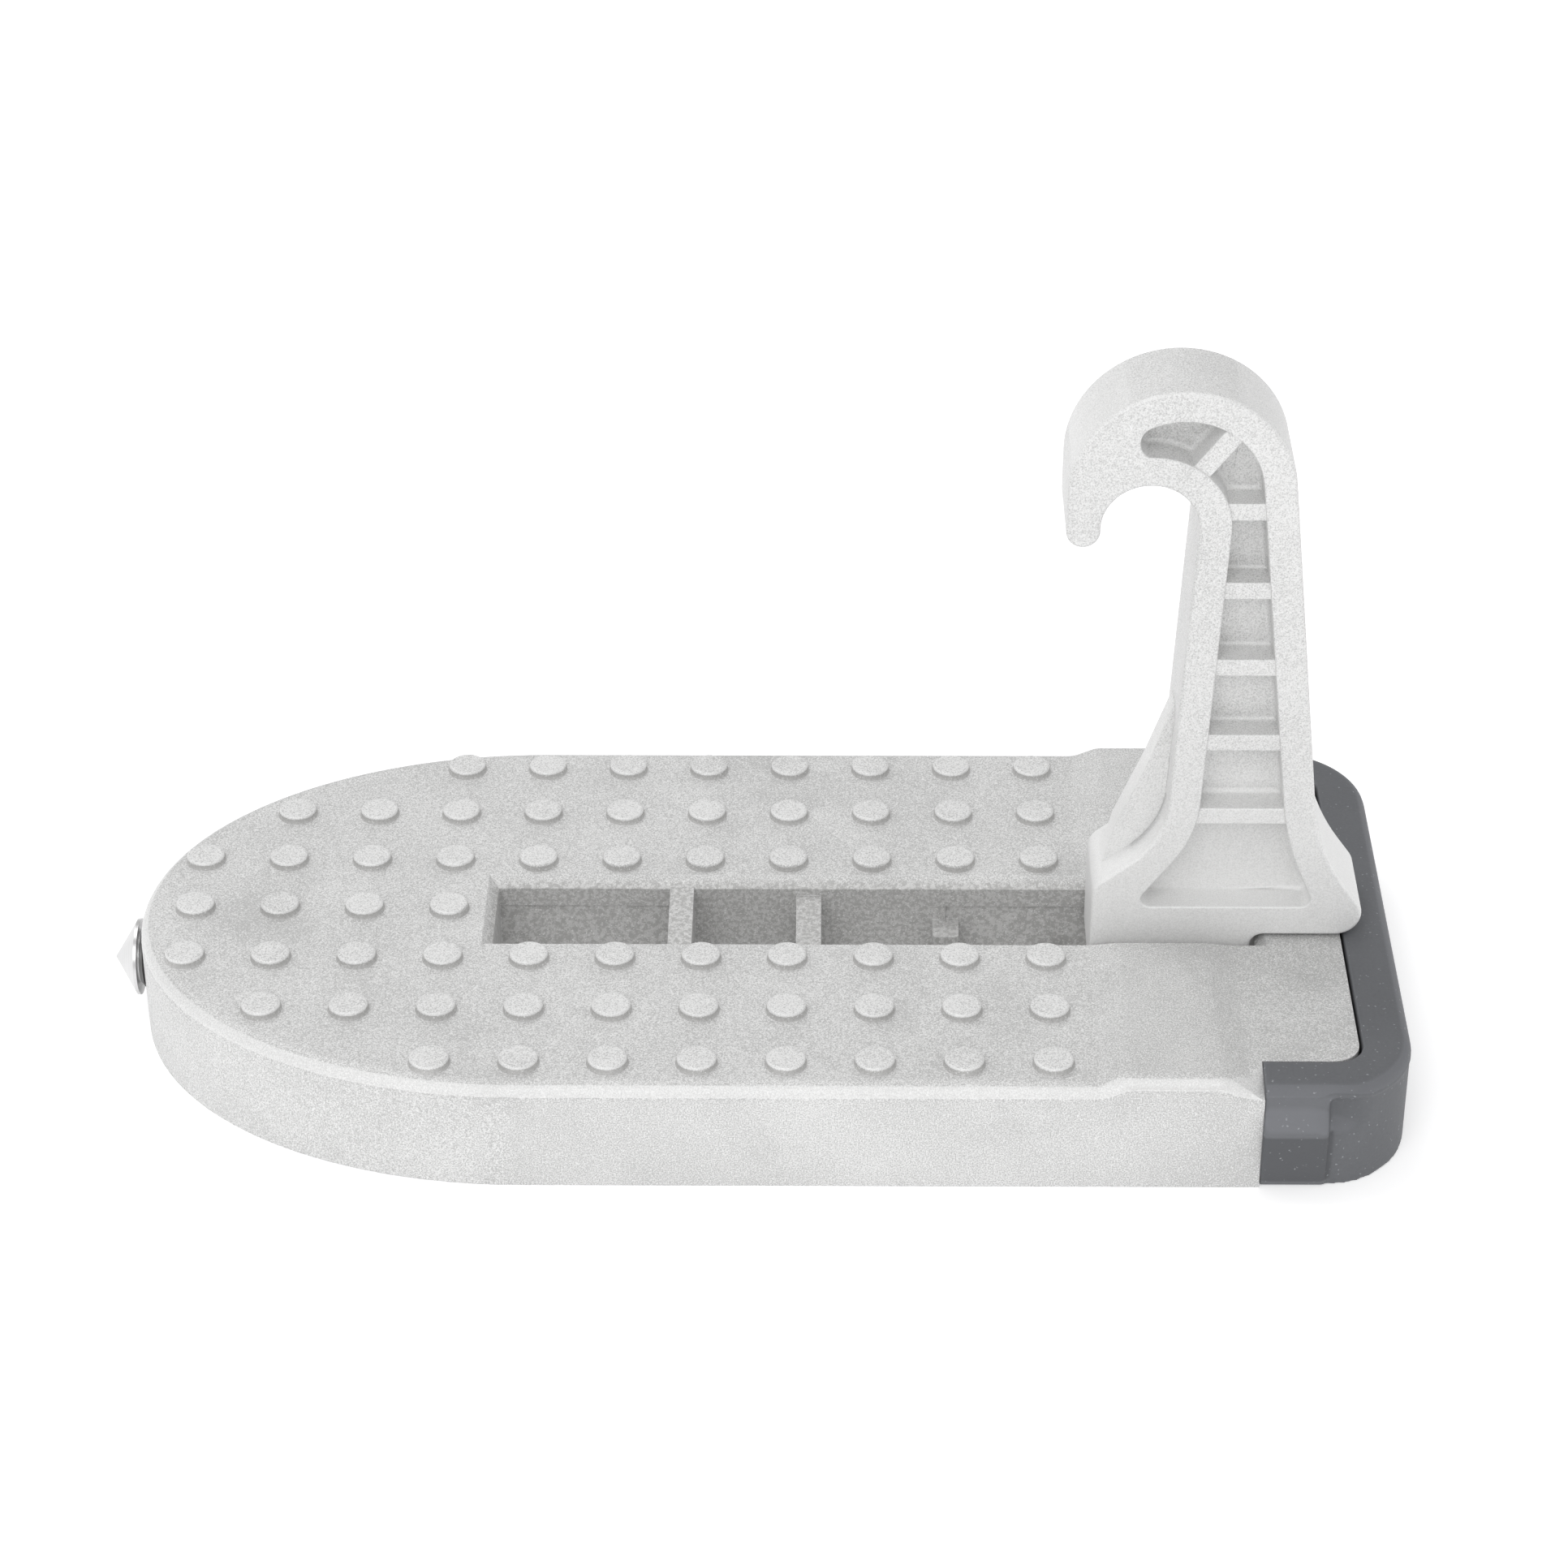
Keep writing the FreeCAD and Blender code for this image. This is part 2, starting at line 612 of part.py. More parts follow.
def pocket_outline(y):
    """Outline of the long pocket in one face: it follows the hook's edge at the rim's width."""
    outer = head_radius - rim
    inner = throat_radius + rim
    left_foot = (arm_foot_left + rim, arm_foot_height)
    right_foot = (arm_foot_right - rim, arm_foot_height)
    right_leave = tangent_point(head_centre, outer, right_foot, 1)
    left_leave = tangent_point(throat_centre, inner, left_foot, 1)
    left_middle, left_way = flare(left_leave, left_foot, pocket_flare_left)
    right_middle, right_way = flare(right_leave, right_foot, pocket_flare_right)
    floor_left = reach_height(pocket_flare_left, left_way, foot_pocket_floor)
    floor_right = reach_height(pocket_flare_right, right_way, foot_pocket_floor)
    end_outer = on_circle(head_centre, outer, pocket_end_outer)
    end_inner = on_circle(throat_centre, inner, pocket_end_inner)
    cap = (min(end_outer[0], end_inner[0]) - pocket_end_bulge, (end_outer[1] + end_inner[1]) / 2)
    def place(point):
        return at_pivot(point, y)

    return [
        arc(place(right_leave), place(on_circle(head_centre, outer, pocket_outer_angle)), place(end_outer)),
        arc(place(end_outer), place(cap), place(end_inner)),
        arc(place(end_inner), place(on_circle(throat_centre, inner, pocket_inner_angle)), place(left_leave)),
        line(place(left_leave), place(left_foot)),
        arc(place(left_foot), place(left_middle), place(pocket_flare_left)),
        line(place(pocket_flare_left), place(floor_left)),
        line(place(floor_left), place(floor_right)),
        line(place(floor_right), place(pocket_flare_right)),
        arc(place(pocket_flare_right), place(right_middle), place(right_foot)),
        line(place(right_foot), place(right_leave)),
    ]


def pocket_cut():
    """Pocket in the front face, with its rungs left standing."""
    depth = hook_half_width - web_half_thickness
    pocket = prism(pocket_outline(-hook_half_width - cut_over), Vec(0, depth + cut_over, 0))
    corners = []
    for edge in pocket.Edges:
        middle = edge.CenterOfMass
        upright = edge.BoundBox.YLength > depth
        if upright and abs(middle.z - pivot_height - foot_pocket_floor) < 0.01:
            corners.append(edge)
    pocket = pocket.makeFillet(pocket_corner_radius, corners)
    rungs = []
    for index in range(rung_count):
        z = pivot_height + first_rung + index * rung_pitch
        rungs.append(box(pivot_x - arm_foot_right, pivot_x + 2 * arm_foot_right,
                         -hook_half_width + rung_recess, 0, z - rung_height / 2, z + rung_height / 2))
    head_rung = box(-head_rung_length / 2, head_rung_length / 2, -hook_half_width + rung_recess, 0,
                    -head_rung_width / 2, head_rung_width / 2)
    middle_radius = (head_radius + throat_radius) / 2
    centre = on_circle(throat_centre, middle_radius, head_rung_angle)
    head_rung.Placement = FreeCAD.Placement(at_pivot(centre), FreeCAD.Rotation(Y_AXIS, -head_rung_angle))
    rungs.append(head_rung)
    return pocket.cut(rungs[0].multiFuse(rungs[1:]))


def gusset():
    """Thin web between the arm and the foot, behind the arm's left edge."""
    points = [at_pivot(point, -web_half_thickness) for point in gusset_points]
    root = arm_foot_left + gusset_root
    inner = [at_pivot((root, gusset_points[-1][1]), -web_half_thickness),
             at_pivot((root, gusset_points[0][1]), -web_half_thickness)]
    return polygon(points + inner, Vec(0, 2 * web_half_thickness, 0))


def make_hook():
    blank = hook_blank()
    rims = [edge for edge in blank.Edges if edge.BoundBox.YLength < 0.001]
    blank = blank.makeFillet(hook_edge_radius, rims)
    cut = pocket_cut()
    body = blank.cut(cut).cut(mirrored(cut)).fuse(gusset())
    bore = cylinder(pin_radius + pin_fit, 4 * hook_half_width, at_pivot((0, 0), -2 * hook_half_width), Y_AXIS)
    return single(body.cut(bore))


def make_pin():
    pin = cylinder(pin_radius, 2 * pin_half_length, Vec(pivot_x, -pin_half_length, pivot_height), Y_AXIS)
    ends = [edge for edge in pin.Edges if edge.BoundBox.YLength < 0.001]
    return single(pin.makeChamfer(pin_chamfer, ends))


def make_grub_screw():
    """Headless screw with a six-sided socket, its point against the pin."""
    top = pivot_height - pin_radius - pin_seat_fit
    low = Vec(pivot_x, grub_y, top - grub_length)
    screw = cylinder(grub_radius, grub_length, low, Z_AXIS)
    ends = [edge for edge in screw.Edges if edge.BoundBox.ZLength < 0.001]
    screw = screw.makeChamfer(grub_chamfer, ends)
    corners = [Vec(low.x + grub_socket * math.cos(math.radians(60 * side)),
                   low.y + grub_socket * math.sin(math.radians(60 * side)), low.z) for side in range(6)]
    return single(screw.cut(polygon(corners, Vec(0, 0, grub_socket_depth))))


def make_plug():
    """Push-in plug in the rear wall, over the hole that the pin goes in by."""
    length = plug_length + plug_head_height
    stem = cylinder(pin_radius + pin_seat_fit - plug_fit, length,
                    Vec(pivot_x, step_half_width - plug_length, pivot_height), Y_AXIS)
    head = cylinder(plug_head_radius, plug_head_height, Vec(pivot_x, step_half_width, pivot_height), Y_AXIS)
    rim_edge = [edge for edge in head.Edges if edge.BoundBox.YMin > step_half_width + plug_head_height / 2]
    return single(stem.fuse(head.makeFillet(plug_edge_radius, rim_edge[:1])))


def side_pad(side):
    """Raised pad on the bumper's side, with a crest along it."""
    half = bumper_half_width
    inner = side * (half - bumper_side_wall / 2)
    face = side * half
    crest = side * (half + pad_crest)
    top = bumper_top - lip_edge_radius
    outline = [Vec(bumper_x, inner, 0), Vec(bumper_x, side * (half - pad_bevel), 0),
               Vec(bumper_x, face, pad_foot_height), Vec(bumper_x, crest, pad_crest_height),
               Vec(bumper_x, face, top), Vec(bumper_x, inner, top)]
    return polygon(outline, Vec(pad_length, 0, 0))


def make_bumper():
    """Rubber boot round the end of the step: lip, body, side pads and a flange underneath."""
    lip_base = bumper_top - lip_height
    lip = rounded_end(bumper_half_width, bumper_x, end_x, bumper_corner_radius, lip_base, bumper_top)
    rims = []
    for edge in lip.Edges:
        bounds = edge.BoundBox
        if bounds.ZMin > bumper_top - 0.001 and bounds.XMax > bumper_x + 0.001:
            rims.append(edge)
    lip = lip.makeFillet(lip_edge_radius, rims)
    body_half = bumper_half_width - lip_overhang
    body = rounded_end(body_half, bumper_x, end_x, bumper_corner_radius, 0, lip_base + fuse_depth)
    inner_half = bumper_half_width - bumper_side_wall
    inner_end = end_x - bumper_end_wall
    room = rounded_end(inner_half, bumper_x - cut_over, inner_end, core_corner_radius,
                       -cut_over, bumper_top + cut_over)
    shell = lip.multiFuse([body, side_pad(-1), side_pad(1)]).cut(room)
    flange = box(inner_end - flange_reach, inner_end + cut_over, -inner_half - cut_over, inner_half + cut_over,
                 0, flange_height)
    slot_room = box(bumper_x - bumper_depth, slot_x1 + cheek, -cheek_y, cheek_y,
                    -cut_over, flange_height + cut_over)
    flange = flange.cut(slot_room)
    shell = shell.fuse(flange)
    for side in (-1, 1):
        base = Vec(screw_x, side * screw_y, 0)
        shell = shell.cut(cylinder(screw_radius + screw_fit, flange_height + cut_over, base, Z_AXIS))
        shell = shell.cut(cylinder(screw_head_radius + screw_head_gap, counterbore_depth, base, Z_AXIS))
    return single(shell)


def make_screws():
    """Two pan-head screws with cross recesses, driven up through the flange."""
    screws = []
    for side in (-1, 1):
        seat = counterbore_depth
        base = Vec(screw_x, side * screw_y, seat - screw_head_height)
        head = cylinder(screw_head_radius, screw_head_height, base, Z_AXIS)
        low_rim = [edge for edge in head.Edges if edge.BoundBox.ZMax < base.z + 0.001]
        head = head.makeFillet(screw_head_edge, low_rim[:1])
        shank = cylinder(screw_radius, screw_length - screw_head_height, Vec(base.x, base.y, seat), Z_AXIS)
        point = [edge for edge in shank.Edges if edge.BoundBox.ZMin > seat + flange_height]
        shank = shank.makeChamfer(screw_point, point[:1])
        screw = head.fuse(shank)
        for along, across in ((cross_half_length, cross_half_width), (cross_half_width, cross_half_length)):
            screw = screw.cut(box(base.x - along, base.x + along, base.y - across, base.y + across,
                                  base.z, base.z + cross_depth))
        screws.append(single(screw))
    return Part.makeCompound(screws)


def make_tip():
    """Hard steel cone on a threaded shank, as one turned piece."""
    rim_x = nose_x - tip_neck
    base_x = rim_x - tip_rim
    root = tip_thread_radius - tip_thread_depth
    outline = [Vec(base_x - tip_cone_height, 0, 0), Vec(base_x, 0, tip_cone_radius),
               Vec(rim_x, 0, tip_cone_radius), Vec(rim_x, 0, root)]
    for turn in range(tip_thread_turns):
        start = rim_x + turn * tip_thread_pitch
        outline.append(Vec(start + tip_thread_flat, 0, root))
        outline.append(Vec(start + tip_thread_pitch / 2, 0, tip_thread_radius))
        outline.append(Vec(start + tip_thread_pitch - tip_thread_flat, 0, root))
    outline.append(Vec(rim_x + tip_thread_turns * tip_thread_pitch, 0, root))
    outline.append(Vec(rim_x + tip_thread_turns * tip_thread_pitch, 0, 0))
    section = Part.Face(Part.makePolygon(outline + [outline[0]]))
    turned = section.revolve(Vec(0, 0, 0), X_AXIS, 360)
    turned.translate(Vec(0, 0, tip_height))
    return single(turned)


os.makedirs("parts", exist_ok=True)
save("step_plate", make_plate())
save("hook", make_hook())
save("pivot_pin", make_pin())
save("grub_screw", make_grub_screw())
save("pin_hole_plug", make_plug())
save("bumper", make_bumper())
save("bumper_screws", make_screws())
save("breaker_tip", make_tip())
print("pivot", round(pivot_x, 2), pivot_height, "slot", round(slot_x0, 2), round(slot_x1, 2))
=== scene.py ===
import math

import bmesh
import bpy
from mathutils import Matrix, Vector


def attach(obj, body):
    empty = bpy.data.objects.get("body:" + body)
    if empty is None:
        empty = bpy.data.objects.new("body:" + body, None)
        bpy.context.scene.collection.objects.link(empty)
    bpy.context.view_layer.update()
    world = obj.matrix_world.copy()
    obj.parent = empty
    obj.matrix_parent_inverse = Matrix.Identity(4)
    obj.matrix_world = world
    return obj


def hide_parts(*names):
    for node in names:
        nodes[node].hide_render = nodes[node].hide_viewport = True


mm = 0.001
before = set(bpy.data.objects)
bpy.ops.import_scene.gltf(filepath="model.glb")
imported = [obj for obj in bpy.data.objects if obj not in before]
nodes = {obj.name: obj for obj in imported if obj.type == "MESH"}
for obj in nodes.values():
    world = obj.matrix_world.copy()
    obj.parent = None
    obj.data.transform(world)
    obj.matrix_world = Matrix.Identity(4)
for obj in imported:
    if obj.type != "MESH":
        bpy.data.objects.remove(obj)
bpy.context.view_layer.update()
print("frame loaded:", sorted(nodes))


# camera: a long lens from the front, looking down on the deck
camera = {
    "place": (9.32, -439.94, 324.28),  # mm
    "down": 33.36,  # degrees below level
    "turn": -0.60,  # degrees to the right
    "roll": -0.20,
    "lens": 94.995,
    "sensor": 36.0,
    "nearest": 0.01,  # metres
}


def placeCamera():
    turn = math.radians(camera["turn"])
    down = math.radians(camera["down"])
    roll = math.radians(camera["roll"])
    ahead = Vector((math.sin(turn) * math.cos(down), math.cos(turn) * math.cos(down), -math.sin(down)))
    right = Vector((math.cos(turn), -math.sin(turn), 0))
    up = right.cross(ahead)
    rolledRight = math.cos(roll) * right + math.sin(roll) * up
    rolledUp = math.cos(roll) * up - math.sin(roll) * right
    bpy.ops.object.camera_add(location=Vector(camera["place"]) * mm)
    eye = bpy.context.object
    eye.name = "camera"
    eye.rotation_euler = Matrix((rolledRight, rolledUp, -ahead)).transposed().to_euler()
    eye.data.lens = camera["lens"]
    eye.data.sensor_width = camera["sensor"]
    eye.data.clip_start = camera["nearest"]
    bpy.context.scene.camera = eye


placeCamera()
print("camera placed")


# light: a white room with a glowing floor, a soft key from the front and a lamp high behind
studio = {
    "floorSize": 6.0,
    "floorTone": (0.93, 0.93, 0.935),
    "floorRoughness": 0.9,
    "floorShine": 0.1,
    "white": (1.0, 1.0, 1.0),
    "worldStrength": 0.68,
    "keyPlace": (-0.25, -1.0, 1.0),
    "keySize": 1.1,
    "keyPower": 5.7,
    "topPlace": (-0.25, 0.35, 0.9),
    "topSize": 0.6,
    "topPower": 1.8,
    "floorGlow": 0.33,
}


def softLight(name, place, size, power):
    bpy.ops.object.light_add(type="AREA", location=place)
    lamp = bpy.context.object
    lamp.name = name
    lamp.data.shape = "DISK"
    lamp.data.size = size
    lamp.data.energy = power
    lamp.rotation_euler = Vector(place).to_track_quat("Z", "Y").to_euler()


def buildStudio():
    softLight("keyLight", studio["keyPlace"], studio["keySize"], studio["keyPower"])
    softLight("topLight", studio["topPlace"], studio["topSize"], studio["topPower"])
    world = bpy.data.worlds.new("whiteRoom")
    bpy.context.scene.world = world
    world.use_nodes = True
    sky = world.node_tree.nodes["Background"]
    sky.inputs["Color"].default_value = (*studio["white"], 1)
    sky.inputs["Strength"].default_value = studio["worldStrength"]
    bpy.ops.mesh.primitive_plane_add(size=studio["floorSize"])
    floor = bpy.context.object
    floor.name = "floor"
    paper = bpy.data.materials.new("floorPaper")
    paper.use_nodes = True
    coat = paper.node_tree.nodes["Principled BSDF"]
    coat.inputs["Base Color"].default_value = (*studio["floorTone"], 1)
    coat.inputs["Roughness"].default_value = studio["floorRoughness"]
    coat.inputs["Specular IOR Level"].default_value = studio["floorShine"]
    coat.inputs["Emission Color"].default_value = (*studio["white"], 1)
    coat.inputs["Emission Strength"].default_value = studio["floorGlow"]
    floor.data.materials.append(paper)
    bpy.context.scene.view_settings.view_transform = "Standard"


buildStudio()
print("studio lit")


# noise patterns are centred on 0.5, so half is taken away before they are weighted
# shader maths: a Signal is a socket that can be added, subtracted, multiplied and ranged
class Signal:
    def __init__(self, finish, socket):
        self.finish = finish
        self.socket = socket

    def maths(self, operation, other, flip=False):
        pair = (other, self) if flip else (self, other)
        return self.finish.add("ShaderNodeMath", {"operation": operation}, {0: pair[0], 1: pair[1]})

    def __add__(self, other):
        return self.maths("ADD", other)

    __radd__ = __add__

    def __sub__(self, other):
        return self.maths("SUBTRACT", other)

    def __rsub__(self, other):
        return self.maths("SUBTRACT", other, True)

    def __mul__(self, other):
        return self.maths("MULTIPLY", other)

    __rmul__ = __mul__

    def __abs__(self):
        return self.finish.add("ShaderNodeMath", {"operation": "ABSOLUTE"}, {0: self})

    def fall(self, low, high):
        return self.ramp(low, high, 1.0, 0.0)

    def band(self, low, high, blend):
        return self.ramp(low - blend, low) * self.fall(high, high + blend)

    def ramp(self, low, high, toLow=0.0, toHigh=1.0):
        limits = {"Value": self, "From Min": low, "From Max": high, "To Min": toLow, "To Max": toHigh}
        return self.finish.add("ShaderNodeMapRange", {"clamp": True}, limits)


bevelSamples = 6
edgeTurn = (0.01, 0.2)  # how far a normal has turned where an edge begins and where it is full


class Finish:
    def __init__(self, name):
        self.material = bpy.data.materials.new(name)
        self.material.use_nodes = True
        self.tree = self.material.node_tree
        self.shader = self.tree.nodes["Principled BSDF"]
        self.place = self.add("ShaderNodeTexCoord", output="Object")

    def add(self, kind, settings=None, sockets=None, output=0):
        node = self.tree.nodes.new(kind)
        for name, value in (settings or {}).items():
            setattr(node, name, value)
        for name, value in (sockets or {}).items():
            if isinstance(value, Signal):
                self.tree.links.new(value.socket, node.inputs[name])
            else:
                node.inputs[name].default_value = value
        return Signal(self, node.outputs[output])

    def noise(self, scale, detail=2.0, roughness=0.5):
        return self.add("ShaderNodeTexNoise", {},
                        {"Vector": self.place, "Scale": scale, "Detail": detail, "Roughness": roughness})

    def flakes(self, scale, share):
        cells = self.add("ShaderNodeTexVoronoi", {}, {"Vector": self.place, "Scale": scale}, "Color")
        red = self.add("ShaderNodeSeparateColor", {}, {"Color": cells})
        return red.ramp(1 - share, 1.0)

    def mix(self, share, low, high):
        a = low if isinstance(low, Signal) else (*low, 1)
        b = high if isinstance(high, Signal) else (*high, 1)
        return self.add("ShaderNodeMix", {"data_type": "RGBA"}, {0: share, 6: a, 7: b}, 2)

    def axis(self, source, letter):
        return self.add("ShaderNodeSeparateXYZ", {}, {"Vector": source}, letter)

    def upward(self):
        return self.axis(self.add("ShaderNodeTexCoord", output="Normal"), "Z")

    def edges(self, radius):
        self.soft = self.add("ShaderNodeBevel", {"samples": bevelSamples}, {"Radius": radius})
        flat = self.add("ShaderNodeNewGeometry", output="Normal")
        same = self.add("ShaderNodeVectorMath", {"operation": "DOT_PRODUCT"},
                        {0: self.soft, 1: flat}, "Value")
        return (1 - same).ramp(*edgeTurn)

    def bump(self, height, distance, normal=None, strength=1.0):
        sockets = {"Height": height, "Distance": distance, "Strength": strength}
        if normal is not None:
            sockets["Normal"] = normal
        return self.add("ShaderNodeBump", {}, sockets)

    def send(self, **sockets):
        for name, value in sockets.items():
            socket = self.shader.inputs[name.replace("_", " ")]
            if isinstance(value, Signal):
                self.tree.links.new(value.socket, socket)
            else:
                socket.default_value = (*value, 1) if isinstance(value, tuple) else value
        return self.material


# cast aluminium, blasted with fine grit: pale, dull, with a sparkle in the grain that is partly painted in as
# pale flecks
casting = {
    "light": (0.82, 0.82, 0.815),
    "dark": (0.48, 0.48, 0.475),
    "shadeTone": (0.40, 0.395, 0.385),
    "flake": (0.97, 0.97, 0.97),
    "wearAndLight": (0.93, 0.93, 0.925),
    "grain": (5600.0, 3, 0.65),  # scale, detail, roughness
    "mottle": (70.0, 3, 0.5),
    "stains": (42.0, 4, 0.65),
    "coarse": (1700.0, 2, 0.6),
    "flakes": (6400.0, 0.10),  # scale, share
    "metallic": 0.2,
    "roughness": 0.5,
    "edgeRadius": 0.15 * mm,
    "grainHeight": 0.05 * mm,
    "flakeHeight": 0.3,
}

# how much each pattern counts in the tone and in the roughness
castWeights = {
    "mottle": 0.6,
    "flake": 0.55,
    "edge": 0.65,
    "roughMottle": 0.1,
    "roughGrain": 0.15,
    "roughFlake": 0.15,
    "roughEdge": 0.08,
    "inside": 0.5,
    "collar": 0.65,
    "coarse": 8.0,
    "stud": 0.3,
    "stains": 0.4,
    "ridge": 0.1,
    "foot": 0.58,
}

# where the plate and the hook differ from the plain casting
castPlaces = {
    "slope": (0.28, 0.85, 0.05),  # upward part of the normal on sloped faces and corners, painted paler there as highlight
    "slotHalf": (7.0 * mm, 7.6 * mm),
    "rimHalf": (9.0 * mm, 9.2 * mm),
    "slotTop": (13.8 * mm, 15.0 * mm),
    "slotStart": (-38.0 * mm, -37.0 * mm),
    "collar": (15.14 * mm, 15.78 * mm, 0.08 * mm),  # sides of the studs, painted darker as shade
    "collarTilt": (0.35, 0.6),
    "studTop": (16.10 * mm, 16.20 * mm, 0.05 * mm),
    "studEnd": (41.3 * mm, 42.3 * mm),
    "ridge": (43.0 * mm, 60.0 * mm),
    # height below which the hook is painted paler as light
    "foot": (20.0 * mm, 48.0 * mm),
    "stainLimits": (0.56, 0.74),
}


def castAluminium(name, lift, contrast, slopeLight, slotted):
    f = Finish(name)
    weights, places = castWeights, castPlaces
    grain = f.noise(*casting["grain"])
    mottle = f.noise(*casting["mottle"])
    flake = f.flakes(*casting["flakes"])
    edge = f.edges(casting["edgeRadius"])
    upward = f.upward()
    slope = upward.band(*places["slope"])
    shade = (grain - 0.5) * contrast + (mottle - 0.5) * weights["mottle"] + lift
    if slotted:
        across = abs(f.axis(f.place, "Y"))
        along = f.axis(f.place, "X")
        height = f.axis(f.place, "Z")
        pastStart = along.ramp(*places["slotStart"])
        slope = slope * (1 - across.fall(*places["rimHalf"]) * pastStart)
        inside = across.fall(*places["slotHalf"]) * height.fall(*places["slotTop"]) * pastStart
        # sides of the studs, painted darker as shade
        collar = height.band(*places["collar"]) * upward.fall(*places["collarTilt"])
        # tops of the studs, painted paler as light
        stud = height.band(*places["studTop"]) * along.fall(*places["studEnd"])
        stains = f.noise(*casting["stains"]).ramp(*places["stainLimits"])
        coarse = f.noise(*casting["coarse"])
        # painted shade: the deck darker towards the ridge end; the stains darken it at random
        shade = shade - along.ramp(*places["ridge"]) * weights["ridge"] - stains * weights["stains"]
        shade = shade + (coarse - 0.5) * inside * weights["coarse"] + stud * weights["stud"]
    tone = f.mix(shade.ramp(0, 1), casting["dark"], casting["light"])
    if slotted:
        # painted shade: the inside of the slot and the sides of the studs painted darker
        tone = f.mix(inside * weights["inside"] + collar * weights["collar"], tone, casting["shadeTone"])
    else:
        # painted light: the lower part of the hook painted paler
        foot = f.axis(f.place, "Z").fall(*places["foot"])
        tone = f.mix(foot * weights["foot"], tone, casting["wearAndLight"])
    # pale flecks: shinier raised flecks, with their glint partly painted into the colour
    tone = f.mix(flake * weights["flake"], tone, casting["flake"])
    # painted highlight: sloped faces and corners painted paler where the light falls on them
    tone = f.mix(slope * slopeLight, tone, casting["wearAndLight"])
    # edges painted paler: partly rubbed wear, partly a painted highlight, along hollow edges too
    tone = f.mix(edge * weights["edge"], tone, casting["wearAndLight"])
    rough = casting["roughness"] + (mottle - 0.5) * weights["roughMottle"]
    rough = rough + (grain - 0.5) * weights["roughGrain"] - flake * weights["roughFlake"]
    rough = rough - edge * weights["roughEdge"]
    normal = f.bump(grain + flake * casting["flakeHeight"], casting["grainHeight"], f.soft)
    return f.send(Base_Color=tone, Metallic=casting["metallic"], Roughness=rough, Normal=normal)


# moulded rubber: slate grey and dull, with a fine pale speckle, and painted paler where it leans out, as
# painted light
rubberLook = {
    "light": (0.145, 0.150, 0.160),
    "dark": (0.100, 0.104, 0.112),
    "speck": (0.42, 0.43, 0.45),
    "litTone": (0.185, 0.190, 0.206),
    "shadeTone": (0.080, 0.083, 0.090),
    "cloud": (120.0, 3, 0.5),
    "grain": (2600.0, 2, 0.6),
    "specks": (5200.0, 0.012),
    "cloudWeight": 0.7,
    "grainWeight": 0.6,
    "speckWeight": 0.6,
    "grainHeight": 0.03 * mm,
    "roughness": 0.62,
    "roughCloud": 0.15,
    "slope": (0.3, 0.85, 0.1),
    "slopeWeight": 0.45,
    "padHalf": (37.4 * mm, 37.7 * mm),
    "padEnd": (72.4 * mm, 72.8 * mm),
    "padUpper": (8.9 * mm, 13.6 * mm, 0.5 * mm),
    "padLower": (1.2 * mm, 8.4 * mm, 0.3 * mm),
    "upperWeight": 0.3,
    "lowerWeight": 0.9,
    "dimple": (74.2 * mm, 38.0 * mm, 11.6 * mm),
    "dimpleReach": (0.8 * mm, 4.2 * mm),
    "dimpleWeight": 0.4,
}


def mouldedRubber():
    look = rubberLook
    f = Finish("mouldedRubber")
    cloud = f.noise(*look["cloud"])
    grain = f.noise(*look["grain"])
    speck = f.flakes(*look["specks"])
    shade = (cloud - 0.5) * look["cloudWeight"] + (grain - 0.5) * look["grainWeight"] + 0.5
    tone = f.mix(shade.ramp(0, 1), look["dark"], look["light"])
    height = f.axis(f.place, "Z")
    pad = abs(f.axis(f.place, "Y")).ramp(*look["padHalf"]) * f.axis(f.place, "X").fall(*look["padEnd"])
    upper = pad * height.band(*look["padUpper"])
    lower = pad * height.band(*look["padLower"])
    folded = f.add("ShaderNodeVectorMath", {"operation": "ABSOLUTE"}, {0: f.place})
    away = f.add("ShaderNodeVectorMath", {"operation": "DISTANCE"}, {0: folded, 1: look["dimple"]}, "Value")
    dimple = away.fall(*look["dimpleReach"]) * (1 - pad)
    slope = f.upward().band(*look["slope"])
    # painted light: faces that lean out and the upper pad painted paler
    tone = f.mix(slope * look["slopeWeight"] + upper * look["upperWeight"], tone, look["litTone"])
    # painted shade: the lower pad and a patch beside each pad painted darker
    tone = f.mix(lower * look["lowerWeight"] + dimple * look["dimpleWeight"], tone, look["shadeTone"])
    tone = f.mix(speck * look["speckWeight"], tone, look["speck"])
    rough = look["roughness"] + (cloud - 0.5) * look["roughCloud"]
    return f.send(Base_Color=tone, Metallic=0.0, Roughness=rough, Normal=f.bump(grain, look["grainHeight"]))


# turned steel: fine rings round the axis, and a slight haze
steelLook = {
    "ringScale": 5200.0,
    "ringDetail": 2.0,
    "ringHeight": 0.002 * mm,
    "haze": (300.0, 2, 0.5),
    "share": 0.5,
    "limits": (0.3, 0.7),
    "shadow": 0.86,
    "roughHaze": 0.12,
    "roughRings": 0.1,
}


def turnedSteel(name, tone, roughness, axis):
    look = steelLook
    f = Finish(name)
    rings = f.add("ShaderNodeTexNoise", {"noise_dimensions": "1D"},
                  {"W": f.axis(f.place, axis), "Scale": look["ringScale"], "Detail": look["ringDetail"]})
    haze = f.noise(*look["haze"])
    shadow = tuple(look["shadow"] * part for part in tone)
    colour = f.mix((rings * look["share"] + haze * look["share"]).ramp(*look["limits"]), shadow, tone)
    rough = roughness + (haze - 0.5) * look["roughHaze"] + (rings - 0.5) * look["roughRings"]
    return f.send(Base_Color=colour, Metallic=1.0, Roughness=rough, Normal=f.bump(rings, look["ringHeight"]))


